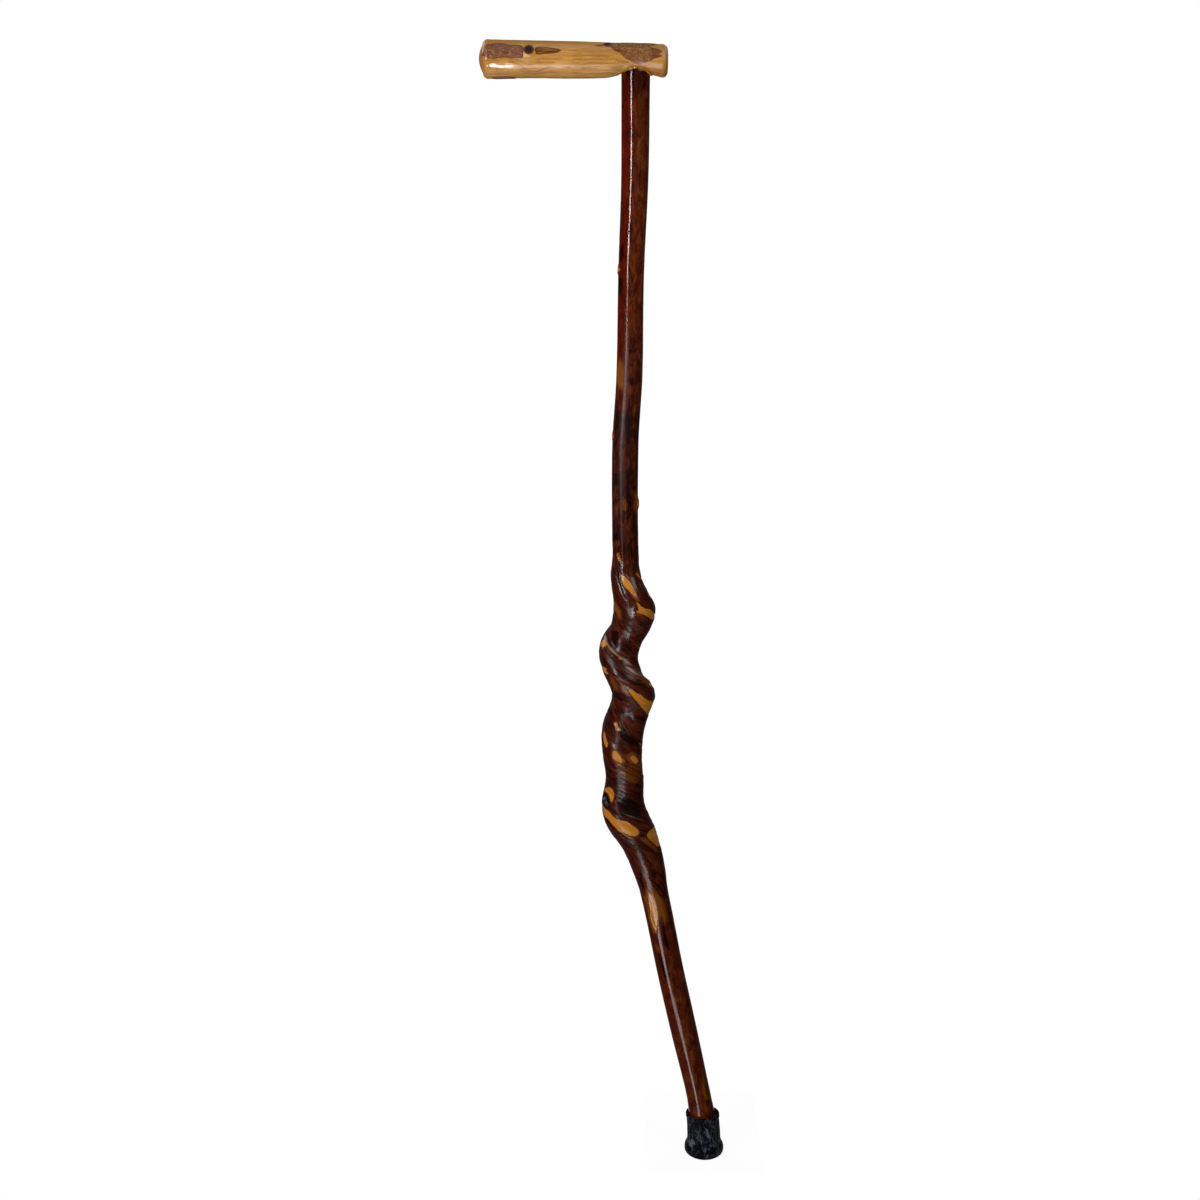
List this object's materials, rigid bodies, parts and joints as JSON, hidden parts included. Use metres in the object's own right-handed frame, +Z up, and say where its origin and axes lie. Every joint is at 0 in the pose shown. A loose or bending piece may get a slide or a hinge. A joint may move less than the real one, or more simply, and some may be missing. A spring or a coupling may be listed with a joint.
{
  "type": "walking cane",
  "caption": "Natural stick cane with a corkscrewed, swollen middle, a peeled branch glued across its top as a handle, and a fluted rubber tip.",
  "frame": {"origin": "middle of the rubber tip's sole", "axes": "+Z up, -X the way the handle points, -Y the side that is usually shown"},
  "size_m": [0.1942, 0.0445, 0.9145],
  "materials": {
    "stained_wood": "dark red-brown stain under gloss varnish",
    "peeled_wood": "peeled, with patches of bark, under gloss varnish",
    "glue": "set wood glue, varnished over",
    "rubber": "matt, a little dusty",
    "steel": "plain zinc-plated"
  },
  "bodies": {
    "root": {"shaft": "stained_wood", "handle": "peeled_wood", "joint_glue": "glue", "ferrule": "rubber", "ferrule_washer": "steel"}
  },
  "joints": []
}
